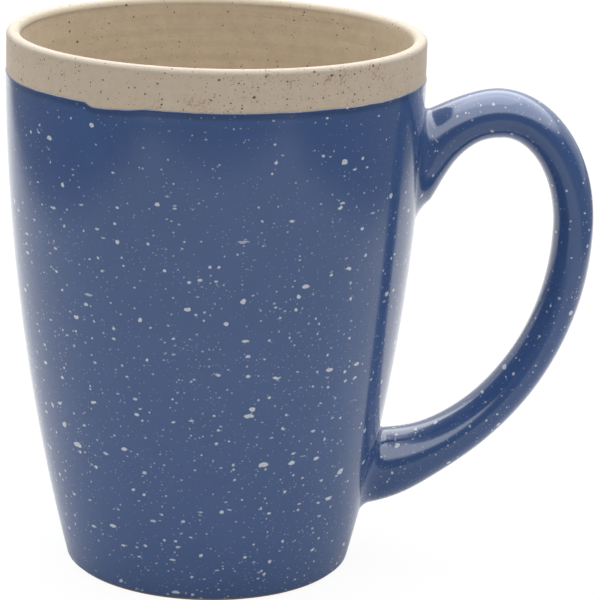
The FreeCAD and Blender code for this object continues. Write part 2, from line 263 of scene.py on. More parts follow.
class ShapeBench(Bench):
    """A Geometry Nodes tree with named inputs, from bare lines to a finished mesh."""

    WELD = 0.002 * MM

    def __init__(self, name: str, sizes: Iterable[tuple[str, str]]) -> None:
        """Start a tree.

        Args:
            name: The tree's name.
            sizes: The tree's inputs after its geometry, each a name and a socket type.
        """
        super().__init__(bpy.data.node_groups.new(name, "GeometryNodeTree"))
        face = self.tree.interface
        face.new_socket("Lines", in_out="INPUT", socket_type="NodeSocketGeometry")
        for label, kind in sizes:
            face.new_socket(label, in_out="INPUT", socket_type=kind)
        face.new_socket("Mesh", in_out="OUTPUT", socket_type="NodeSocketGeometry")
        self.given = self.node("NodeGroupInput")
        self.lines = self.given.outputs["Lines"]

    def size(self, label: str) -> Flow:
        """One of the tree's named inputs, as a number."""
        return Flow(self, self.given.outputs[label])

    def count(self, geometry: Socket) -> Flow:
        """How many points a mesh has."""
        made = self.node("GeometryNodeAttributeDomainSize", {"component": "MESH"},
                         {"Geometry": geometry})
        return Flow(self, made.outputs["Point Count"])

    def mark(self, name: str) -> Flow:
        """A number stored on the points, read by its name."""
        made = self.node("GeometryNodeInputNamedAttribute", {"data_type": "FLOAT"},
                         {"Name": name})
        return Flow(self, made.outputs["Attribute"])

    def arrow_mark(self, name: str) -> Arrow:
        """A vector stored on the points, read by its name."""
        made = self.node("GeometryNodeInputNamedAttribute", {"data_type": "FLOAT_VECTOR"},
                         {"Name": name})
        return Arrow(self, made.outputs["Attribute"])

    def pick(self, source: Socket, value: Flow | Arrow, row: Flow) -> Any:
        """Read a field at one point of another geometry.

        Args:
            source: The geometry that is read.
            value: The field.
            row: The number of the point.

        Returns:
            What the field is there, of the same kind.
        """
        kind = "FLOAT_VECTOR" if isinstance(value, Arrow) else "FLOAT"
        made = self.node("GeometryNodeSampleIndex", {"data_type": kind, "domain": "POINT"},
                         {"Geometry": source, "Value": value, "Index": row})
        return type(value)(self, made.outputs["Value"])

    def grid(self, rows: Flow, columns: Flow) -> tuple[bpy.types.Node, Flow, Flow]:
        """A grid whose points know their row and column.

        Args:
            rows: Points down the grid.
            columns: Points across the grid.

        Returns:
            The grid's node, each point's row and each point's column.
        """
        made = self.node("GeometryNodeMeshGrid", {}, {"Vertices X": rows, "Vertices Y": columns})
        index = Flow(self, self.node("GeometryNodeInputIndex").outputs["Index"])
        row = self.sum("FLOOR", (index + 0.5) / columns)
        return made, row, index - row * columns

    def store(self, geometry: Socket, name: str, value: Any,
              kind: str = "FLOAT", domain: str = "POINT") -> Socket:
        """Keep a field on a geometry under a name.

        Args:
            geometry: The geometry.
            name: The attribute's name.
            value: The field.
            kind: The attribute's data type.
            domain: What carries it.

        Returns:
            The geometry with the attribute.
        """
        made = self.node("GeometryNodeStoreNamedAttribute",
                         {"data_type": kind, "domain": domain},
                         {"Geometry": geometry, "Name": name, "Value": value})
        return made.outputs["Geometry"]

    def over_face(self, value: Flow) -> Flow:
        """A field's mean over each face."""
        made = self.node("GeometryNodeFieldOnDomain", {"data_type": "FLOAT", "domain": "FACE"},
                         {"Value": value})
        return Flow(self, made.outputs["Value"])

    def finish(self, grid: bpy.types.Node, place: Arrow, marks: dict[str, Flow],
               bake: Arrow) -> None:
        """Put the grid's points in place, mark and weld them, and end the tree.

        Args:
            grid: The grid's node.
            place: Where each point goes.
            marks: What is kept on the points, by its name.
            bake: Where each corner lies on the bake.
        """
        shape = self.node("GeometryNodeSetPosition", {},
                          {"Geometry": grid.outputs["Mesh"], "Position": place})
        made = shape.outputs["Geometry"]
        for name, value in marks.items():
            made = self.store(made, name, value)
        made = self.store(made, "OFBake", bake, "FLOAT2", "CORNER")
        for kind, values in (("GeometryNodeMergeByDistance", {"Distance": self.WELD}),
                             ("GeometryNodeSetShadeSmooth", {"Shade Smooth": True}),
                             ("GeometryNodeRealizeInstances", {}),
                             ("GeometryNodeSetMaterial",
                              {"Material": self.given.outputs["Finish"]})):
            made = self.node(kind, {}, {"Geometry": made, **values}).outputs["Geometry"]
        self.node("NodeGroupOutput", {}, {"Mesh": made})


@dataclass
class Blank:
    """Points in a row with numbers on them: what a shape tree is fed with."""

    name: str
    points: list[Vector] = field(default_factory=list)
    marks: dict[str, list[float]] = field(default_factory=dict)
    arrows: dict[str, list[Vector]] = field(default_factory=dict)

    def mesh(self) -> bpy.types.Mesh:
        """The points as a mesh of edges, with an attribute for each mark.

        Returns:
            The mesh.
        """
        made = bpy.data.meshes.new(self.name)
        count = len(self.points)
        made.from_pydata([tuple(p) for p in self.points],
                         [(i, i + 1) for i in range(count - 1)], [])
        for label, values in self.marks.items():
            made.attributes.new(label, "FLOAT", "POINT").data.foreach_set("value", values)
        for label, values in self.arrows.items():
            flat = [part for value in values for part in value]
            made.attributes.new(label, "FLOAT_VECTOR", "POINT").data.foreach_set("vector", flat)
        return made

    def run_through(self, tree: bpy.types.NodeTree, sizes: dict[str, Any]) -> bpy.types.Object:
        """Put the blank through a shape tree.

        Args:
            tree: The tree.
            sizes: What its named inputs get.

        Returns:
            A plain mesh object, with no modifier left on it.
        """
        piece = put(self.name, self.mesh())
        step = piece.modifiers.new("shape", "NODES")
        step.node_group = tree
        sockets = {item.name: item.identifier for item in tree.interface.items_tree
                   if item.in_out == "INPUT"}
        for label, value in sizes.items():
            step[sockets[label]] = value
        graph = bpy.context.evaluated_depsgraph_get()
        shaped = bpy.data.meshes.new_from_object(piece.evaluated_get(graph))
        piece.modifiers.remove(step)
        blank, piece.data = piece.data, shaped
        bpy.data.meshes.remove(blank)
        shaped.name = self.name
        return piece


# ------------------------------------------------------------------------------ the forms


@dataclass(frozen=True)
class Wall:
    """One of the cup's wall faces: an arc in the half-section, turned about the axis."""

    reach: float = -399.601 * MM
    level: float = 108.0 * MM
    curve: float = 443.356 * MM

    def at(self, height: float, proud: float = 0.0) -> Vector:
        """The half-section's point at a height, so far outside the face."""
        radius = self.curve + proud
        return Vector((self.reach + math.sqrt(radius ** 2 - (height - self.level) ** 2),
                       0.0, height))

    def gap(self, place: Vector) -> float:
        """How far a point is outside the face."""
        across = math.hypot(place.x, place.y) - self.reach
        return math.hypot(across, place.z - self.level) - self.curve


@dataclass
class Section:
    """A coat's closed half-section, walked so that its outside is on the left."""

    points: list[Vector] = field(default_factory=list)
    edge: list[float] = field(default_factory=list)
    throw: list[Vector] = field(default_factory=list)
    seen_to: int = 0

    def add(self, point: Vector, edge: float = 0.0, throw: Vector | None = None) -> None:
        """Add one point.

        Args:
            point: The point.
            edge: How far the point follows the wavy glaze line, 0 to 1.
            throw: The way, and how much, the potter's rings move the point.
        """
        if self.points and (self.points[-1] - point).length < 0.01 * MM:
            return
        self.points.append(point)
        self.edge.append(edge)
        self.throw.append(throw or Vector())

    def wall(self, wall: Wall, start: float, end: float, step: float, proud: float = 0.0,
             edge: Pair | None = None, throw: float = 0.0) -> None:
        """Follow a wall face.

        Args:
            wall: The face.
            start: The height that it is followed from.
            end: The height that it is followed to.
            step: About how far apart the points are.
            proud: How far outside the face.
            edge: The heights between which the points begin to follow the glaze line.
            throw: How much the potter's rings push the points towards the axis.
        """
        count = max(1, round(abs(end - start) / step))
        for k in range(count + 1):
            height = start + (end - start) * k / count
            share = 0.0
            if edge:
                share = min(1.0, max(0.0, (height - edge[0]) / (edge[1] - edge[0])))
            self.add(wall.at(height, proud), share, Vector((-throw, 0.0, 0.0)))

    def arc(self, centre: Vector, radius: float, start: float, end: float, count: int,
            edge: float = 0.0, throw: float = 0.0) -> None:
        """Follow an arc.

        Args:
            centre: The arc's centre.
            radius: Its radius.
            start: The direction it starts in, in degrees above outwards.
            end: The direction it ends in.
            count: How many steps it has.
            edge: How far its points follow the glaze line.
            throw: How much the potter's rings push its points towards the arc's centre.
        """
        for k in range(count + 1):
            a = math.radians(start + (end - start) * k / count)
            way = Vector((math.cos(a), 0.0, math.sin(a)))
            self.add(centre + way * radius, edge, -way * throw)

    def line(self, end: Vector, step: float, throw: float = 0.0) -> None:
        """Go straight on.

        Args:
            end: Where the line ends.
            step: About how far apart the points are.
            throw: How much the potter's rings lift its points.
        """
        start = self.points[-1]
        count = max(1, round((end - start).length / step))
        for k in range(1, count + 1):
            self.add(start.lerp(end, k / count), 0.0, Vector((0.0, 0.0, throw)))

    def seen(self) -> None:
        """Say that everything after this point is hidden against the clay."""
        self.seen_to = len(self.points) - 1

    def blank(self, name: str) -> tuple[Blank, float]:
        """The section as a tree's input.

        Args:
            name: The piece's name.

        Returns:
            The blank, and the share of its length that is seen.
        """
        walked = [0.0]
        for a, b in zip(self.points, self.points[1:]):
            walked.append(walked[-1] + (b - a).length)
        along = [w / walked[-1] for w in walked]
        marks = {"along": along, "edge": self.edge}
        return Blank(name, self.points, marks, {"throw": self.throw}), along[self.seen_to]


class CoatTree:
    """Turns a half-section about the cup's axis, by hand: rings, wobble and a wavy edge."""

    SIZES = (("Columns", "NodeSocketInt"), ("Seen Share", "NodeSocketFloat"),
             ("Ring Depth", "NodeSocketFloat"), ("Ring Pitch", "NodeSocketFloat"),
             ("Wobble", "NodeSocketFloat"), ("Edge Wave", "NodeSocketFloat"),
             ("Dip Depth", "NodeSocketFloat"), ("Finish", "NodeSocketMaterial"))
    HANDLE_SIDE = (22.0, 60.0)
    DIP_STARTS = (-127.5, -125.0)
    DIP_ENDS = (-123.0, -106.0)

    def __init__(self) -> None:
        """Lay the tree out. The angles above are degrees round from the handle."""
        self.bench = ShapeBench("turned_coat", self.SIZES)
        self._lay_out()

    def _lay_out(self) -> None:
        """Make every node, from the half-section to the finished mesh."""
        b = self.bench
        columns = b.size("Columns")
        grid, row, column = b.grid(b.count(b.lines), columns + 1.0)
        spot = Arrow(b, b.node("GeometryNodeInputPosition").outputs["Position"])
        place = b.pick(b.lines, spot, row)
        throw = b.pick(b.lines, b.arrow_mark("throw"), row)
        edge = b.pick(b.lines, b.mark("edge"), row)
        angle = column / columns * TURN
        cosine, sine = b.sum("COSINE", angle), b.sum("SINE", angle)
        out = b.arrow(cosine, sine, 0.0)
        radius, height = place.part("X"), place.part("Z")

        # The potter's rings climb in a shallow spiral and fade in and out.
        pitch = b.size("Ring Pitch")
        spiral = (height + radius * 0.6) / pitch + angle / TURN
        wander = b.noise(out * 0.9 + b.arrow(0.0, 0.0, height * 30.0))
        ripple = b.sum("SINE", (spiral + wander * 1.4) * TURN)
        uneven = b.noise(out * 1.3 + b.arrow(0.0, 0.0, height * 330.0), detail=3.0)
        rings = (ripple * 0.35 + (uneven - 0.5) * 2.2) * b.size("Ring Depth")

        # The wall is a little out of round, away from the handle.
        around = b.sum("ARCTAN2", sine, cosine) * (180.0 / math.pi)
        away = b.ease(b.sum("ABSOLUTE", around), *self.HANDLE_SIDE)
        sway = b.noise(out * 1.1 + b.arrow(7.0, 3.0, height * 14.0)) - 0.5
        stout = radius * (b.size("Wobble") * sway * away + 1.0)

        # The glaze line waves, and steps down once where the dip ended.
        low = b.noise(out * 1.7 + (4.0, 1.0, 2.0)) - 0.5
        fine = b.noise(out * 9.0 + (1.0, 8.0, 5.0)) - 0.5
        dip = b.ease(around, *self.DIP_STARTS) * (1.0 - b.ease(around, *self.DIP_ENDS))
        wave = (low * 1.6 + fine * 0.7) * b.size("Edge Wave") - dip * b.size("Dip Depth")

        across = stout + throw.part("X") * rings
        turned = out * across + b.arrow(0.0, 0.0, height + throw.part("Z") * rings + edge * wave)
        marks = {"along": b.pick(b.lines, b.mark("along"), row), "across": column / columns}
        b.finish(grid, turned, marks, self._bake_place())

    def _bake_place(self) -> Arrow:
        """Where each corner lies on the bake: two half turns, and the hidden side in a strip.

        Returns:
            The place, in X and Y.
        """
        b = self.bench
        share = b.size("Seen Share")
        along, across = b.mark("along"), b.mark("across")
        hidden = b.over_face(along) > share
        half = b.sum("FLOOR", b.over_face(across) * 2.0)
        seen_u = (across * 2.0 - half) * 0.98 + 0.01
        seen_v = (along / share * 0.94 + half) * 0.48 + 0.012
        back_v = (along - share) / (1.0001 - share) * 0.02 + 0.972
        u = seen_u + (across * 0.98 + 0.01 - seen_u) * hidden
        v = seen_v + (back_v - seen_v) * hidden
        return b.arrow(u, v, 0.0)


class HandleTree:
    """Sweeps an oval along the handle's line and flares its ends onto the cup."""

    SIZES = (("Columns", "NodeSocketInt"), ("Wall Reach", "NodeSocketFloat"),
             ("Wall Level", "NodeSocketFloat"), ("Wall Curve", "NodeSocketFloat"),
             ("Side Spread", "NodeSocketFloat"), ("Wobble", "NodeSocketFloat"),
             ("Finish", "NodeSocketMaterial"))
    STEPS = 6

    def __init__(self) -> None:
        """Lay the tree out."""
        self.bench = ShapeBench("pulled_handle", self.SIZES)
        self._lay_out()

    def _off_wall(self, place: Arrow) -> tuple[Arrow, Flow]:
        """The wall's outward direction and a point's gap to the wall.

        Args:
            place: The point.

        Returns:
            The direction, and how far the point is outside the wall.
        """
        b = self.bench
        flat = place * (1.0, 1.0, 0.0)
        across = flat.length() - b.size("Wall Reach")
        rise = place.part("Z") - b.size("Wall Level")
        span = b.sum("SQRT", across * across + rise * rise)
        way = flat.unit() * (across / span) + b.arrow(0.0, 0.0, rise / span)
        return way, span - b.size("Wall Curve")

    def _on_line(self, curve: Socket, travel: Flow, turned: tuple[Flow, Flow],
                 cap: Flow) -> tuple[Arrow, Arrow]:
        """A point of the oval, a distance along the line.

        Args:
            curve: The line.
            travel: The distance.
            turned: The cosine and sine of the point's angle round the oval.
            cap: What the oval's size is multiplied by.

        Returns:
            The point and its outward direction.
        """
        b = self.bench
        size, turn = (b.node("GeometryNodeSampleCurve",
                             {"data_type": "FLOAT_VECTOR", "mode": "LENGTH"},
                             {"Curves": curve, "Value": b.arrow_mark(name), "Length": travel})
                      for name in ("oval", "upright"))
        oval, upright = Arrow(b, size.outputs["Value"]), Arrow(b, turn.outputs["Value"])
        thick, broad = oval.part("X"), oval.part("Y")
        cosine, sine = turned
        rim = (upright * (thick * cosine) + b.arrow(0.0, broad * sine, 0.0)) * cap
        out = upright * (broad * cosine) + b.arrow(0.0, thick * sine, 0.0)
        return Arrow(b, size.outputs["Position"]) + rim, out.unit()

    def _snap(self, place: Arrow, standoff: Flow, share: Flow) -> Arrow:
        """Move a point square to the wall until it stands off it by a distance."""
        way, gap = self._off_wall(place)
        return place + way * ((standoff - gap) * share)

    def _lay_out(self) -> None:
        """Make every node, from the handle's line to the finished mesh."""
        b = self.bench
        columns = b.size("Columns")
        grid, row, column = b.grid(b.count(b.lines), columns + 1.0)
        curve = b.node("GeometryNodeMeshToCurve", {}, {"Mesh": b.lines}).outputs["Curve"]
        parameter = b.node("GeometryNodeSplineParameter")
        walked = {name: Flow(b, parameter.outputs[name]) for name in ("Length", "Factor")}
        start = b.pick(curve, walked["Length"], row)
        follow, standoff, flare, side, cap, grow = (
            b.pick(b.lines, b.mark(name), row)
            for name in ("follow", "standoff", "flare", "side", "cap", "grow"))
        angle = column / columns * TURN
        turned = b.sum("COSINE", angle), b.sum("SINE", angle)

        # The slip was smoothed out wider at the root's flanks than above and below it.
        spread = turned[1] * turned[1] * b.size("Side Spread")
        standoff = standoff + grow * spread
        flare = flare * (spread + 1.0)

        # Each point slides along the line until it stands off the wall as its row says.
        travel = start
        for _ in range(self.STEPS):
            _, gap = self._off_wall(self._on_line(curve, travel, turned, cap)[0])
            travel = travel + (gap - standoff) * side
        place, out = self._on_line(curve, start + (travel - start) * follow, turned, cap)
        way, _ = self._off_wall(place)
        skirt = (out - way * out.dot(way)).unit()
        flared = self._snap(place + skirt * flare, standoff, flare > 1e-7)

        # The pulled clay is a little uneven along the grip.
        sway = b.noise(flared * 28.0 + (2.0, 9.0, 4.0)) - 0.5
        uneven = out * (sway * b.size("Wobble") * (1.0 - follow) * cap)
        marks = {"along": b.pick(curve, walked["Factor"], row), "across": column / columns}
        b.finish(grid, flared + uneven, marks, self._bake_place())

    def _bake_place(self) -> Arrow:
        """Where each corner lies on the bake: two lengths of the handle, side by side.

        Returns:
            The place, in X and Y.
        """
        b = self.bench
        along, across = b.mark("along"), b.mark("across")
        half = b.sum("FLOOR", b.over_face(along) * 2.0)
        u = (along * 2.0 - half) * 0.98 + 0.01
        v = (across * 0.96 + half) * 0.5 + 0.01
        return b.arrow(u, v, 0.0)


@dataclass(frozen=True)
class Swell:
    """A smooth run through a few settings, such as how a root's swell grows."""

    settings: tuple[Pair, ...]

    def _slope(self, k: int) -> float:
        """How steeply the run passes a setting, level at its first.

        Args:
            k: The setting's number.

        Returns:
            The slope.
        """
        if k == 0:
            return 0.0
        (x0, y0), (x1, y1) = self.settings[k - 1], self.settings[k]
        before = (y1 - y0) / (x1 - x0)
        if k == len(self.settings) - 1:
            return before
        x2, y2 = self.settings[k + 1]
        after = (y2 - y1) / (x2 - x1)
        if before * after <= 0.0:
            return 0.0
        return (before * (x2 - x1) + after * (x1 - x0)) / (x2 - x0)

    def at(self, place: float) -> float:
        """The run at a place.

        Args:
            place: Where it is read. Outside the settings it stays at its end's value.

        Returns:
            The value there.
        """
        if place <= self.settings[0][0]:
            return self.settings[0][1]
        if place >= self.settings[-1][0]:
            return self.settings[-1][1]
        k = next(k for k in range(len(self.settings) - 1) if place < self.settings[k + 1][0])
        (x0, y0), (x1, y1) = self.settings[k], self.settings[k + 1]
        span = x1 - x0
        t = (place - x0) / span
        return (y0 * (1 + 2 * t) * (1 - t) ** 2 + self._slope(k) * span * t * (1 - t) ** 2
                + y1 * t * t * (3 - 2 * t) + self._slope(k + 1) * span * t * t * (t - 1))


class Stretch(Enum):
    """The three stretches of the handle's line."""

    ROOT = "upper root to crown"
    SHOULDER = "crown to grip"
    SWEEP = "grip to lower root"


@dataclass(frozen=True)
class Station:
    """A place on the handle's line: its point, which way is outside, and half its oval."""

    point: Vector
    upright: Vector
    thick: float
    broad: float


Row = tuple[Station, dict[str, float]]


@dataclass(frozen=True)
class HandleLine:
    """The line that the handle follows, and the oval at each place on it."""

    crown: Pair = (59.857 * MM, 98.55 * MM)
    root_span: Pair = (0.0, 1.36)
    sweep_span: Pair = (40.0, 88.0)
    root_run: float = 16.5 * MM
    root_drop: float = 9.45 * MM
    root_tilt: float = 24.0
    shoulder: Pair = (16.873 * MM, 24.55 * MM)
    grip_height: float = 74.0 * MM
    sweep_x: float = 26.521 * MM
    sweep: Pair = (50.209 * MM, 54.874 * MM)
    grip_oval: Pair = (8.45 * MM, 13.2 * MM)
    crown_thickness: float = 10.3 * MM
    upper_root: float = 17.5 * MM
    lower_root: float = 16.6 * MM
    upper_swell: Swell = Swell(((0.26, 0.0), (0.5, 0.08), (0.7, 0.27), (0.88, 0.6),
                                (1.1, 1.0), (1.36, 0.64)))
    lower_swell: Swell = Swell(((0.0, 0.0), (18.0, 0.0), (36.0, 0.03), (52.0, 0.13),
                                (65.0, 0.38), (76.0, 0.82), (88.0, 1.0)))

    def station(self, stretch: Stretch, place: float) -> Station:
        """The place on the line.

        Args:
            stretch: Which stretch of the line.
            place: The share of the way from the crown to the wall on the root, degrees
                above the grip on the shoulder, degrees below it on the sweep.

        Returns:
            The station there.
        """
        thin, broad = self.grip_oval
        if stretch is Stretch.ROOT:
            point = (self.crown[0] - self.root_run * place,
                     self.crown[1] - self.root_drop * place ** 2)
            tilt = math.radians(self.root_tilt * (1.0 - (1.0 - place) ** 2))
            way = (math.cos(tilt), math.sin(tilt))
            share = self.upper_swell.at(place)
            sizes = (self.crown_thickness + (self.upper_root - self.crown_thickness) * share,
                     broad + (self.upper_root - broad) * share)
        elif stretch is Stretch.SHOULDER:
            a = math.radians(place)
            reach, rise = self.shoulder
            point = (self.crown[0] + reach * math.cos(a), self.grip_height + rise * math.sin(a))
            way = (reach * math.sin(a), -rise * math.cos(a))
            sizes = (thin + (self.crown_thickness - thin) * (place / 90.0) ** 2, broad)
        else:
            a = math.radians(place)
            reach, drop = self.sweep
            point = (self.sweep_x + reach * math.cos(a), self.grip_height - drop * math.sin(a))
            way = (-reach * math.sin(a), -drop * math.cos(a))
            share = self.lower_swell.at(place)
            sizes = (thin + (self.lower_root - thin) * share,
                     broad + (self.lower_root - broad) * share)
        upright = Vector((-way[1], 0.0, way[0])).normalized()
        return Station(Vector((point[0], 0.0, point[1])), upright, sizes[0] / 2, sizes[1] / 2)

    def span(self, stretch: Stretch) -> Pair:
        """The places on a root's stretch between which it reaches the wall."""
        return self.root_span if stretch is Stretch.ROOT else self.sweep_span

    def reach_gap(self, stretch: Stretch, wall: Wall, gap: float) -> float:
        """Find the place where the line stands off the wall by a distance.

        Args:
            stretch: The stretch that is searched.
            wall: The cup's wall.
            gap: The distance.

        Returns:
            The place.
        """
        low, high = self.span(stretch)
        for _ in range(40):
            middle = (low + high) / 2.0
            if wall.gap(self.station(stretch, middle).point) > gap:
                low = middle
            else:
                high = middle
        return (low + high) / 2.0


# ------------------------------------------------------------------------------- finishes


class SkinBench(Bench):
    """A material's tree, with the few patterns that every finish of the mug is made of."""

    def __init__(self, name: str) -> None:
        """Start a material.

        Args:
            name: The finish's name.
        """
        self.material = bpy.data.materials.new(name)
        self.material.use_nodes = True
        super().__init__(self.material.node_tree)
        self.tree.nodes.clear()
        spot = self.node("ShaderNodeTexCoord").outputs["Object"]
        self.place = Arrow(self, spot) * (1.0 / MM)
        flat = self.place * (1.0, 1.0, 0.0)
        self.out = flat.length()
        self.height = self.place.part("Z")
        self.round = self.arrow(-self.place.part("Y"), self.place.part("X"), 0.0).unit()

    def mark(self, name: str) -> Flow:
        """A number stored on the piece."""
        made = self.node("ShaderNodeAttribute",
                         {"attribute_type": "GEOMETRY", "attribute_name": name})
        return Flow(self, made.outputs["Fac"])

    def cloud(self, size: float, detail: float = 2.0, seed: float = 0.0,
              squash: float = 1.0) -> Flow:
        """Smooth noise about 0.

        Args:
            size: How big its features are, in millimetres.
            detail: Octaves.
            seed: Moves the noise.
            squash: How much flatter its features are than wide.

        Returns:
            The noise, mostly between -0.5 and 0.5.
        """
        spot = self.place * (1.0 / size, 1.0 / size, squash / size)
        return self.noise(spot + (seed, seed * 1.7, -seed), detail=detail) - 0.5

    def tint(self, share: Any, low: Any, high: Any) -> Socket:
        """A colour a share of the way from the low one to the high one."""
        made = self.node("ShaderNodeMix", {"data_type": "RGBA", "clamp_factor": True},
                         {0: share, 6: low, 7: high})
        return made.outputs[2]

    def scaled(self, colour: Any, by: Any) -> Socket:
        """A colour made lighter or darker.

        Args:
            colour: A colour or a link.
            by: What it is multiplied by.

        Returns:
            The new colour.
        """
        grey = self.arrow(by, by, by)
        made = self.node("ShaderNodeMix", {"data_type": "RGBA", "blend_type": "MULTIPLY"},
                         {0: 1.0, 6: colour, 7: grey})
        return made.outputs[2]

    def dress(self, colour: Any, roughness: Any, height: Flow, gloss: float = 0.5,
              coat: float = 0.0) -> bpy.types.Material:
        """End the material.

        Args:
            colour: Its base colour.
            roughness: Its roughness.
            height: Its relief, in millimetres.
            gloss: Its specular level.
            coat: The weight of a clear, sharp layer over it.

        Returns:
            The material.
        """
        bump = self.node("ShaderNodeBump", {},
                         {"Strength": 1.0, "Distance": MM, "Height": height})
        skin = self.node("ShaderNodeBsdfPrincipled", {},
                         {"Base Color": colour, "Roughness": roughness,
                          "Specular IOR Level": gloss, "IOR": 1.5, "Coat Weight": coat,
                          "Coat Roughness": 0.05, "Normal": bump.outputs["Normal"]})
        self.node("ShaderNodeOutputMaterial", {}, {"Surface": skin.outputs["BSDF"]})
        return self.material


@dataclass(frozen=True)
class Spots:
    """One size of spot scattered through the glaze."""

    cell: float
    radius: float
    share: float
    seed: float
    smallest: float = 0.45
    soft: float = 0.05
    pull: float = 0.0
    ragged: float = 1.6
    strength: float = 1.0
    halo: float = 0.0

    def lay(self, b: SkinBench, thinning: Any = 1.0) -> tuple[Flow, Flow]:
        """Scatter the spots.

        Args:
            b: The bench.
            thinning: What the spots' share is multiplied by from place to place.

        Returns:
            Where the spots are, and how far in from a spot's edge, both 0 to 1.
        """
        ragged = b.noise(b.place, 1.0 / (self.radius * 3.0)) - 0.5
        bent = b.place + b.arrow(ragged, -ragged, ragged) * (self.radius * self.ragged)
        spot = bent * (1.0 / self.cell) + (self.seed, self.seed * 2.3, self.seed * 0.7)
        cells = b.node("ShaderNodeTexVoronoi", {"voronoi_dimensions": "3D", "feature": "F1"},
                       {"Vector": spot, "Scale": 1.0, "Randomness": 1.0})
        lot = Arrow(b, cells.outputs["Color"])
        gap = (spot - Arrow(b, cells.outputs["Position"])) * self.cell
        if self.pull:
            run = gap.dot(b.round)
            stretch = 1.0 + self.pull * lot.part("Z") ** 3.0
            gap = gap - b.round * (run - run / stretch)
        size = (lot.part("X") ** 1.6 * (1.0 - self.smallest) + self.smallest) * self.radius
        distance = gap.length()
        there = lot.part("Y") < thinning * self.share
        mask = (1.0 - b.ease(distance, size - self.soft, size + self.soft)) * there
        return mask, (1.0 - distance / size).clamped() * there


@dataclass(frozen=True)
class BlueGlaze:
    """Glossy blue glaze, spattered with pale spots."""

    name: str = "blue_speckled_glaze"
    blue: Colour = (0.0440, 0.0875, 0.213, 1.0)
    deep: Colour = (0.0320, 0.0640, 0.162, 1.0)
    pale: Colour = (0.50, 0.53, 0.565, 1.0)
    pink: Colour = (0.40, 0.375, 0.385, 1.0)
    halo: Colour = (0.20, 0.19, 0.19, 1.0)
    fine_cell: float = 1.5
    big_cell: float = 2.5
    spatter: tuple[Spots, ...] = (
        Spots(cell=2.75, radius=0.56, share=0.26, seed=3.1, smallest=0.5, soft=0.09, pull=1.6),
        Spots(cell=2.05, radius=0.34, share=0.62, seed=11.7, soft=0.10, pull=1.6,
              strength=0.88),
        Spots(cell=1.25, radius=0.22, share=0.62, seed=23.9, soft=0.09, pull=0.8,
              strength=0.55),
        Spots(cell=3.4, radius=0.34, share=0.22, seed=37.3, soft=0.09, pull=5.0,
              strength=0.62),
        Spots(cell=0.80, radius=0.15, share=0.60, seed=51.7, soft=0.09, strength=0.34))

    def make(self, edged: bool = False) -> bpy.types.Material:
        """Make the finish.

        Args:
            edged: Whether the coat has a glaze line at its top.

        Returns:
            The material.
        """
        b = SkinBench(self.name + ("_edged" if edged else ""))
        fall = 1.15 - b.ease(b.height, 55.0, 112.0) * 0.62
        drift = (b.cloud(16.0, 2.0, 5.0) * 1.9 + 1.0) * fall
        mist = (b.cloud(9.0, 3.0, 9.0) * 2.6 + 1.0) * fall
        pooled = (b.cloud(7.0, 4.0, 1.0) * 0.55 + 0.16).clamped()
        colour: Any = b.tint(pooled, self.blue, self.deep)
        shade = b.cloud(28.0, 2.0, 2.0) * 0.16 + b.cloud(1.1, 3.0, 4.0) * 0.10 + 1.0
        colour = b.scaled(colour, shade)
        relief: Any = b.cloud(2.4, 2.0, 6.0) * 0.010 + b.cloud(11.0, 1.0, 8.0) * 0.05
        if edged:
            along = b.mark("along")
            line = 1.0 - b.ease(along, 0.0006, 0.0026)
            under = b.ease(along, 0.0014, 0.0034) * (1.0 - b.ease(along, 0.0048, 0.0100))
            colour = b.scaled(colour, 1.0 - under * 0.30)
            colour = b.tint(line * 0.62, colour, self.halo)
        for spots in self.spatter:
            mask, inner = spots.lay(b, mist if spots.cell < self.fine_cell else drift)
            dot: Any = self.pale
            if spots.cell > self.big_cell:
                dot = b.tint(b.ease(inner, 0.35, 0.8) * 0.55, self.pale, self.pink)
            colour = b.tint(mask * spots.strength, colour, dot)
            relief = relief + mask * 0.006
        roughness = b.cloud(5.0, 3.0, 7.0) * 0.06 + 0.13
        return b.dress(colour, roughness, relief, gloss=0.42)


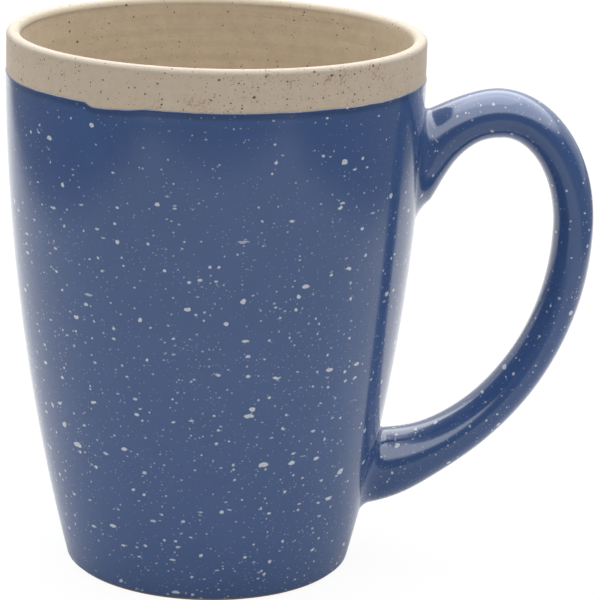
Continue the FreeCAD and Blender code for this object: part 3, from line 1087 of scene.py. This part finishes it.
@dataclass(frozen=True)
class CreamGlaze:
    """Satin cream glaze over speckled clay: rust-brown specks, pores and throwing rings."""

    name: str = "cream_speckled_glaze"
    cream: Colour = (0.585, 0.50, 0.395, 1.0)
    warm: Colour = (0.53, 0.41, 0.29, 1.0)
    # inside: painted light, the same cream glaze made lighter inside the cup to stand in for the
    # strong top light that falls there
    inside: Colour = (0.70, 0.605, 0.46, 1.0)
    # lip: painted shade, the cream darkened on the lip top to tone down the overhead light that
    # falls on it
    lip: Colour = (0.48, 0.435, 0.365, 1.0)
    iron: Colour = (0.080, 0.046, 0.025, 1.0)
    rust: Colour = (0.27, 0.125, 0.06, 1.0)
    gathered: tuple[float, float, float] = (0.37, -0.93, 0.0)
    specks: tuple[Spots, ...] = (
        Spots(cell=1.7, radius=0.36, share=0.44, seed=4.3, smallest=0.35, soft=0.09, pull=0.6,
              strength=0.95, halo=0.6),
        Spots(cell=1.05, radius=0.25, share=0.72, seed=14.9, smallest=0.45, soft=0.06,
              strength=0.85, halo=0.7),
        Spots(cell=0.72, radius=0.16, share=0.80, seed=29.3, smallest=0.5, soft=0.05,
              strength=0.5, halo=0.6))

    def make(self) -> bpy.types.Material:
        """Make the finish.

        Returns:
            The material.
        """
        b = SkinBench(self.name)
        outside = b.ease(b.out, 41.4, 42.6)
        facing = b.place.dot(self.gathered) / b.out
        thick = b.ease(facing, 0.80, 0.99) * outside * 0.75 + outside * 0.22 + 0.33
        drift = (b.cloud(7.0, 3.0, 3.0) * 2.8 + 1.0) * thick
        # Painted light: the cup's inside gets the lighter inside colour, the outer band the plain
        # cream.
        colour: Any = b.tint(outside, self.inside, self.cream)
        mottle = b.cloud(3.6, 4.0, 2.0) * 0.9 + b.cloud(0.8, 3.0, 5.0) * 0.5
        colour = b.tint((mottle * 0.8 + 0.22).clamped(), colour, self.warm)
        rings = self._rings(b)
        colour = b.scaled(colour, rings * 0.10 + b.cloud(1.3, 4.0, 8.0) * 0.16 + 1.0)
        # Painted shade: the lip top, above 113 mm, is darkened towards the lip colour.
        colour = b.tint(b.ease(b.height, 113.0, 114.7) * 0.6, colour, self.lip)
        relief: Any = rings * 0.03 + b.cloud(0.9, 4.0, 6.0) * 0.02
        relief = relief + b.cloud(4.0, 2.0, 7.0) * 0.03
        for k, specks in enumerate(self.specks):
            mask, inner = specks.lay(b, drift)
            halo = b.ease(inner, -0.2, 0.6) * 0.5 + mask * 0.5
            colour = b.tint(halo * specks.halo, colour, self.iron if k else self.rust)
            colour = b.tint(b.ease(inner, 0.1, 0.4) * specks.strength, colour, self.iron)
            relief = relief - mask * 0.010
        broken = b.cloud(5.2, 4.0, 31.0) + b.cloud(0.55, 2.0, 33.0) * 0.55
        share = b.ease(facing, 0.80, 0.98) * 0.22 + 0.26
        colour = b.tint(b.ease(broken, 0.13, 0.25) * outside * share, colour, self.rust)
        roughness = 0.50 - outside * 0.06 + b.cloud(2.0, 3.0, 10.0) * 0.12
        return b.dress(colour, roughness, relief, gloss=0.26)

    @staticmethod
    def _rings(b: SkinBench) -> Flow:
        """Fine rings left by the potter's fingers, level and broken.

        Args:
            b: The bench.

        Returns:
            The rings, about 0.
        """
        spot = b.place * (0.028, 0.028, 0.62) + (3.0, 5.0, 1.0)
        fine = b.place * (0.05, 0.05, 2.3) + (8.0, 2.0, 4.0)
        return (b.noise(spot, detail=3.0) - 0.5) + (b.noise(fine) - 0.5) * 0.6


@dataclass(frozen=True)
class BareClay:
    """Unglazed fired stoneware, with grog, fine pores and turning marks."""

    name: str = "bare_stoneware"
    clay: Colour = (0.40, 0.30, 0.21, 1.0)
    dark: Colour = (0.25, 0.17, 0.11, 1.0)
    grain: Colour = (0.52, 0.42, 0.32, 1.0)
    fleck: Colour = (0.09, 0.05, 0.03, 1.0)
    grog: Spots = Spots(cell=1.0, radius=0.20, share=0.5, seed=6.1, soft=0.06)
    iron: Spots = Spots(cell=2.2, radius=0.28, share=0.4, seed=19.3, soft=0.08)

    def make(self) -> bpy.types.Material:
        """Make the finish.

        Returns:
            The material.
        """
        b = SkinBench(self.name)
        burnt = (b.cloud(6.0, 4.0, 1.0) * 0.9 + 0.3).clamped()
        colour: Any = b.tint(burnt, self.clay, self.dark)
        turned = b.noise(b.arrow(b.out * 2.4, b.height * 2.4, 0.0)) - 0.5
        grains, _ = self.grog.lay(b)
        flecks, _ = self.iron.lay(b)
        colour = b.tint(grains * 0.35, colour, self.grain)
        colour = b.tint(flecks * 0.7, colour, self.fleck)
        colour = b.scaled(colour, turned * 0.2 + b.cloud(0.5, 3.0, 3.0) * 0.25 + 1.0)
        relief = turned * 0.04 + grains * 0.03 + b.cloud(0.35, 3.0, 5.0) * 0.04
        return b.dress(colour, b.cloud(1.5, 2.0, 9.0) * 0.1 + 0.82, relief, gloss=0.25)


# --------------------------------------------------------------------------- sub-assemblies


@dataclass
class GlazedCup:
    """The glaze coats on the turned cup: cream liner and band, blue body, blue base."""

    wall: Wall = field(default_factory=Wall)
    top: float = 115.0 * MM
    outer_lip: float = 1.1 * MM
    inner_lip: float = 1.4 * MM
    bore: float = -3.3 * MM
    lip_wall: float = -2.95 * MM
    floor: float = 8.7 * MM
    corner: float = 10.5 * MM
    coat: float = 0.45 * MM
    taper: float = 14.0 * MM
    line: float = 106.7 * MM
    lap: float = 2.0 * MM
    sunk: float = 0.12 * MM
    foot: float = 0.65 * MM
    base_radius: float = 22.5 * MM
    base_low: float = 1.9 * MM
    base_high: float = 2.4 * MM
    lip_clay: float = 0.95 * MM
    bead: float = 0.30 * MM
    roll: float = 0.32 * MM
    ring_pitch: float = 3.4 * MM
    liner_rings: float = 0.09 * MM
    base_rings: float = 0.12 * MM
    wobble: float = 0.0022
    edge_wave: float = 0.42 * MM
    edge_fade: Pair = (7.0 * MM, 1.0 * MM)
    dip_depth: float = 0.8 * MM
    columns: int = 320
    tree: CoatTree = field(default_factory=CoatTree)

    def _bowl(self, section: Section, depth: float, step: float, inward: bool) -> None:
        """Walk the inside surface, between the floor's centre and the lip.

        Args:
            section: The section that gets the points.
            depth: How far under the glaze's own surface.
            step: About how far apart the points are.
            inward: Whether the walk goes from the lip to the floor's centre.
        """
        radius, floor = self.corner + depth, self.floor - depth
        proud = self.bore + depth
        mid = self.wall.at(floor + radius, proud - radius)
        slant = math.degrees(math.asin((mid.z - self.wall.level) / (self.wall.curve + proud)))
        low = mid.z + radius * math.sin(math.radians(slant))
        if inward:
            section.wall(self.wall, self.top - 2.0 * MM, low, step, proud)
            section.arc(mid, radius, slant, -90.0, 8)
            section.line(Vector((0.0, 0.0, floor)), step * 2.0)
        else:
            section.add(Vector((0.0, 0.0, floor)))
            section.line(Vector((mid.x, 0.0, floor)), step * 1.3, throw=0.6)
            section.arc(mid, radius, -90.0, slant, 14, throw=0.7)
            section.wall(self.wall, low, self.top - self.taper, step, proud, throw=1.0)
            steps = 16
            for k in range(1, steps + 1):
                share = k / steps
                level = self.top - self.taper + (self.taper - self.inner_lip) * share
                thin = proud + (self.lip_wall - self.bore) * share * share
                section.add(self.wall.at(level, thin), throw=Vector((-1.0 + share * 0.6, 0, 0)))

    def cream_section(self) -> Section:
        """The cream coat: floor, bore, lip and outer band, then back along the clay.

        Returns:
            The section.
        """
        made = Section()
        self._bowl(made, 0.0, 1.0 * MM, inward=False)
        inner = self.wall.at(self.top - self.inner_lip, self.lip_wall + self.inner_lip)
        outer = self.wall.at(self.top - self.outer_lip, -self.outer_lip - self.sunk * 0.5)
        made.arc(inner, self.inner_lip, 178.0, 90.0, 9)
        made.arc(outer, self.outer_lip, 90.0, 2.0, 9)
        made.wall(self.wall, self.top - 2.0 * MM, self.line + 0.4 * MM, 0.7 * MM,
                  -self.sunk * 0.8, throw=0.35)
        made.wall(self.wall, self.line, self.line - self.lap, 0.5 * MM, -self.sunk)
        made.seen()
        clay = self.lip_clay
        made.wall(self.wall, self.line - self.lap, self.top - 2.0 * MM, 3.0 * MM, -self.coat)
        made.arc(self.wall.at(self.top - self.coat - clay, -self.coat - clay), clay, 0.0, 90.0, 3)
        made.arc(self.wall.at(self.top - self.coat - clay, self.bore + self.coat + clay), clay,
                 90.0, 180.0, 3)
        self._bowl(made, self.coat, 4.0 * MM, inward=True)
        return made

    def blue_section(self) -> Section:
        """The blue coat: its rolled top edge, the wall, its lower edge, and back up.

        Returns:
            The section.
        """
        made = Section()
        low, high = (self.line - depth for depth in self.edge_fade)
        bead = self.wall.at(self.line - self.bead, 0.05 * MM - self.bead)
        made.arc(bead, self.bead, 100.0, 0.0, 9, edge=1.0)
        made.wall(self.wall, self.line - 0.8 * MM, self.line - 1.6 * MM, 0.4 * MM, 0.02 * MM,
                  edge=(low, high))
        made.wall(self.wall, self.line - 2.2 * MM, self.foot + 0.6 * MM, 0.9 * MM,
                  edge=(low, high))
        made.arc(self.wall.at(self.foot + self.roll, -self.roll), self.roll, 0.0, -90.0, 6)
        made.seen()
        made.wall(self.wall, self.foot, self.line - self.lap - 0.4 * MM, 4.0 * MM, -self.coat)
        made.add(self.wall.at(self.line - self.lap, -self.sunk - 0.03 * MM), 0.8)
        made.add(self.wall.at(self.line - 0.6 * MM, -self.sunk - 0.03 * MM), 1.0)
        made.add(made.points[0].copy(), 1.0)
        return made

    def base_section(self) -> Section:
        """The disc of glaze in the recess, with a soft drawn-in edge.

        Returns:
            The section.
        """
        made = Section()
        made.add(Vector((0.0, 0.0, self.base_high)))
        made.line(Vector((self.base_radius - 0.1 * MM, 0.0, self.base_high)), 3.0 * MM)
        depth = self.base_high - self.base_low
        mid = Vector((self.base_radius - depth, 0.0, self.base_high))
        made.arc(mid, depth, -8.0, -90.0, 8)
        made.line(Vector((0.0, 0.0, self.base_low)), 1.0 * MM, throw=0.25)
        made.seen()
        return made

    def _turn(self, name: str, section: Section, finish: bpy.types.Material,
              **sizes: float) -> bpy.types.Object:
        """Turn one coat.

        Args:
            name: The piece's name.
            section: Its section.
            finish: Its finish.
            **sizes: The tree's other inputs, in words joined by lines.

        Returns:
            The coat.
        """
        blank, share = section.blank(name)
        inputs: dict[str, Any] = {"Columns": self.columns, "Seen Share": share, "Ring Depth": 0.0,
                                  "Ring Pitch": self.ring_pitch, "Wobble": 0.0, "Edge Wave": 0.0,
                                  "Dip Depth": 0.0, "Finish": finish}
        inputs.update({key.replace("_", " ").title(): value for key, value in sizes.items()})
        return blank.run_through(self.tree.bench.tree, inputs)

    def build(self, blue: bpy.types.Material, edged: bpy.types.Material,
              cream: bpy.types.Material) -> list[bpy.types.Object]:
        """Build the coats and dress them.

        Args:
            blue: The blue finish.
            edged: The blue finish with a glaze line.
            cream: The cream finish.

        Returns:
            The three pieces.
        """
        liner = self._turn("cream_liner_coat", self.cream_section(), cream,
                           ring_depth=self.liner_rings, wobble=self.wobble)
        body = self._turn("blue_body_coat", self.blue_section(), edged,
                          wobble=self.wobble, edge_wave=self.edge_wave,
                          dip_depth=self.dip_depth)
        base = self._turn("blue_base_coat", self.base_section(), blue,
                          ring_depth=self.base_rings)
        for piece, node, slot in ((liner, "cream_liner_glaze", "cream_glaze"),
                                  (body, "blue_body_glaze", "blue_glaze"),
                                  (base, "base_glaze", "blue_glaze")):
            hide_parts(node)
        return [liner, body, base]


@dataclass
class PulledHandle:
    """The glazed handle, flared onto the cup at both roots."""

    wall: Wall = field(default_factory=Wall)
    line: HandleLine = field(default_factory=HandleLine)
    fillet: float = 1.7 * MM
    side_spread: float = 1.1
    sunk: float = 0.03 * MM
    hem: float = 0.8 * MM
    depth: float = 2.0 * MM
    free_gap: float = 12.0 * MM
    wobble: float = 0.22 * MM
    root_side: float = -1.35
    sweep_side: float = 1.05
    root_rows: int = 12
    bend_rows: int = 12
    free_rows: tuple[int, int, int] = (7, 44, 66)
    columns: int = 80
    tree: HandleTree = field(default_factory=HandleTree)
    FREE = {"follow": 0.0, "standoff": 0.0, "flare": 0.0, "side": 0.0, "cap": 1.0, "grow": 0.0}

    def _row(self, stretch: Stretch, place: float, **marks: float) -> Row:
        """The row at a place on the line, with its marks where they aren't a free row's."""
        return self.line.station(stretch, place), {**self.FREE, **marks}

    def _root_rows(self, stretch: Stretch, side: float) -> list[Row]:
        """The rows of one root, from where the handle is free to inside the wall.

        Args:
            stretch: The root's stretch of the line.
            side: How far a point slides along the line for each unit of gap.

        Returns:
            The rows, the free end first.
        """
        settings = []
        for k in range(self.root_rows):
            share = k / self.root_rows
            gap = self.free_gap + (self.fillet - self.free_gap) * share
            settings.append((gap, share * share * (3.0 - 2.0 * share), self.fillet * share, 0.0))
        for k in range(self.bend_rows + 1):
            a = math.radians(90.0 * k / self.bend_rows)
            rise = self.fillet * (1.0 - math.sin(a))
            flare = self.fillet * (1.0 - math.cos(a)) + 1e-6
            settings.append((rise - self.sunk, 1.0, rise, flare))
        settings.append((-self.hem, 1.0, 0.0, self.fillet))
        rows = [self._row(stretch, self.line.reach_gap(stretch, self.wall, gap), standoff=gap,
                          follow=follow, grow=grow, flare=flare, side=side)
                for gap, follow, grow, flare in settings]
        hem = self.line.reach_gap(stretch, self.wall, -self.hem)
        rest = self.line.span(stretch)[1] - hem
        return rows + [self._row(stretch, hem + rest * share, follow=1.0, side=side, cap=0.0,
                                 standoff=-self.depth) for share in (0.75, 1.0)]

    def blank(self) -> Blank:
        """The handle's line as the tree's input, from the upper root to the lower.

        Returns:
            The blank.
        """
        start, end = (self.line.reach_gap(stretch, self.wall, self.free_gap)
                      for stretch in (Stretch.ROOT, Stretch.SWEEP))
        crown, shoulder, sweep = self.free_rows
        rows = self._root_rows(Stretch.ROOT, self.root_side)[::-1]
        rows += [self._row(Stretch.ROOT, start * (1.0 - k / crown)) for k in range(1, crown)]
        rows += [self._row(Stretch.SHOULDER, 90.0 * (1.0 - k / shoulder))
                 for k in range(shoulder)]
        rows += [self._row(Stretch.SWEEP, end * k / sweep) for k in range(sweep)]
        rows += self._root_rows(Stretch.SWEEP, self.sweep_side)
        marks = {key: [marks[key] for _, marks in rows] for key in self.FREE}
        arrows = {"upright": [s.upright for s, _ in rows],
                  "oval": [Vector((s.thick, s.broad, 0.0)) for s, _ in rows]}
        return Blank("blue_handle_coat", [s.point for s, _ in rows], marks, arrows)

    def build(self, blue: bpy.types.Material) -> list[bpy.types.Object]:
        """Build the handle's coat and dress it.

        Args:
            blue: The blue finish.

        Returns:
            The piece, in a list.
        """
        piece = self.blank().run_through(self.tree.bench.tree, {
            "Columns": self.columns, "Wall Reach": self.wall.reach,
            "Wall Level": self.wall.level, "Wall Curve": self.wall.curve,
            "Side Spread": self.side_spread, "Wobble": self.wobble, "Finish": blue})
        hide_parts("blue_handle_glaze")
        return [piece]


@dataclass
class FiredClay:
    """The clay under the glaze, which shows at the foot, and the slip at the joints."""

    nodes: tuple[str, ...] = ("cup_body", "handle", "upper_slip_joint", "lower_slip_joint")

    def build(self, clay: bpy.types.Material) -> list[bpy.types.Object]:
        """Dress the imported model's own clay parts.

        Args:
            clay: The bare clay finish.

        Returns:
            The parts.
        """
        parts = [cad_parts[name] for name in self.nodes]
        for part in parts:
            for slot in part.material_slots:
                slot.material = clay
        return parts


# --------------------------------------------------------------------------------- studio


@dataclass(frozen=True)
class Softbox:
    """A square soft light."""

    name: str
    place: tuple[float, float, float]
    aim: tuple[float, float, float]
    side: float
    power: float

    def hang(self) -> bpy.types.Object:
        """Hang the light.

        Returns:
            The light.
        """
        data = bpy.data.lights.new(self.name, "AREA")
        data.shape, data.size, data.energy = "SQUARE", self.side, self.power
        made = put(self.name, data)
        made.location = self.place
        way = Vector(self.aim) - Vector(self.place)
        made.rotation_euler = way.to_track_quat("-Z", "Y").to_euler()
        return made


@dataclass
class Studio:
    """A white table in a pale room, lit softly from above and behind."""

    boxes: tuple[Softbox, ...] = (
        Softbox("overhead_box", (0.05, 0.15, 1.15), (0.0, 0.0, 0.05), 0.9, 5.2),)
    eye: tuple[float, float, float] = (-0.0135, -0.5481, 0.2129)
    pitch: float = -15.851
    yaw: float = 3.374
    roll: float = 1.701
    lens: float = 160.02
    floor_side: float = 6.0
    table_side: Pair = (235.0, 330.0)
    table_front: Pair = (-430.0, -330.0)
    gleam: float = 4.2

    def set_camera(self) -> None:
        """Place the camera and make it the scene's."""
        data = bpy.data.cameras.new("camera")
        data.lens, data.sensor_width = self.lens, 36.0
        data.clip_start, data.clip_end = 0.01, 50.0
        camera = put("camera", data)
        pitch, yaw, roll = (math.radians(a) for a in (self.pitch, self.yaw, self.roll))
        ahead = Vector((math.sin(yaw) * math.cos(pitch), math.cos(yaw) * math.cos(pitch),
                        math.sin(pitch)))
        right = Vector((math.cos(yaw), -math.sin(yaw), 0.0))
        up = right.cross(ahead)
        right, up = (right * math.cos(roll) + up * math.sin(roll),
                     up * math.cos(roll) - right * math.sin(roll))
        matrix = Matrix((right, up, -ahead)).transposed().to_4x4()
        matrix.translation = Vector(self.eye)
        camera.matrix_world = matrix
        bpy.context.scene.camera = camera

    def lay_table(self) -> None:
        """Lay the floor: pale all over, and darker beyond the table to everything but the eye."""
        mesh = bpy.data.meshes.new("floor")
        side = self.floor_side
        mesh.from_pydata([(-side, -side, 0), (side, -side, 0), (side, side, 0), (-side, side, 0)],
                         [], [(0, 1, 2, 3)])
        floor = put("floor", mesh)
        b = SkinBench("pale_floor")
        x, y = b.place.part("X"), b.place.part("Y")
        wide = 1.0 - b.ease(b.sum("ABSOLUTE", x), *self.table_side)
        deep = b.ease(y, *self.table_front)
        eye = Flow(b, b.node("ShaderNodeLightPath").outputs["Is Camera Ray"])
        white = b.sum("MAXIMUM", wide * deep, eye)
        pale = b.tint(eye, grey(0.74), grey(0.93))
        colour = b.tint(white, (0.16, 0.16, 0.17, 1.0), pale)
        skin = b.node("ShaderNodeBsdfPrincipled", {},
                      {"Base Color": colour, "Roughness": 0.8, "Specular IOR Level": 0.1})
        glow = b.node("ShaderNodeEmission", {}, {"Color": grey(1.0), "Strength": 1.0})
        mixed = b.node("ShaderNodeMixShader", {}, {0: eye * 0.93, 1: skin.outputs["BSDF"],
                                                   2: glow.outputs["Emission"]})
        b.node("ShaderNodeOutputMaterial", {}, {"Surface": mixed.outputs["Shader"]})
        mesh.materials.append(b.material)

    def light_room(self) -> None:
        """Light the room: bright above and behind, dim at the front, white to the camera."""
        world = bpy.data.worlds.new("room")
        world.use_nodes = True
        bpy.context.scene.world = world
        b = Bench(world.node_tree)
        b.tree.nodes.clear()
        way = Arrow(b, b.node("ShaderNodeTexCoord").outputs["Generated"])
        up, back = way.part("Z"), way.part("Y")
        behind = b.ease(back, -0.05, 0.30) * (b.ease(up, 0.12, 0.45) * 0.7 + 1.0)
        bright = b.sum("MAXIMUM", b.ease(up, 0.30, 0.62) * 1.45, behind)
        path = b.node("ShaderNodeLightPath")
        eye, gleam = Flow(b, path.outputs["Is Camera Ray"]), Flow(b, path.outputs["Is Glossy Ray"])
        over = b.ease(up, 0.40, 0.56) * gleam
        level = b.sum("MAXIMUM", bright * 0.85 + 0.17 + over * self.gleam, eye)
        room = b.node("ShaderNodeBackground", {}, {"Color": grey(1.0), "Strength": level})
        b.node("ShaderNodeOutputWorld", {}, {"Surface": room.outputs["Background"]})

    def build(self) -> None:
        """Set up the camera, the table, the room and the lights."""
        self.set_camera()
        self.lay_table()
        self.light_room()
        for box in self.boxes:
            box.hang()
        bpy.context.scene.view_settings.view_transform = "Standard"


def main() -> None:
    """Build the studio and the mug, put every piece on its body and log each piece's face count.
    """
    logging.basicConfig(level=logging.INFO, format="%(name)s: %(message)s")
    Studio().build()
    blue, edged = BlueGlaze().make(), BlueGlaze().make(edged=True)
    cream, clay = CreamGlaze().make(), BareClay().make()
    made = GlazedCup().build(blue, edged, cream) + PulledHandle().build(blue)
    for piece in made:
        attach(piece, "root")
    for piece in made + FiredClay().build(clay):
        log.info("%s: %d faces", piece.name, len(piece.data.polygons))


if __name__ == "__main__":
    main()
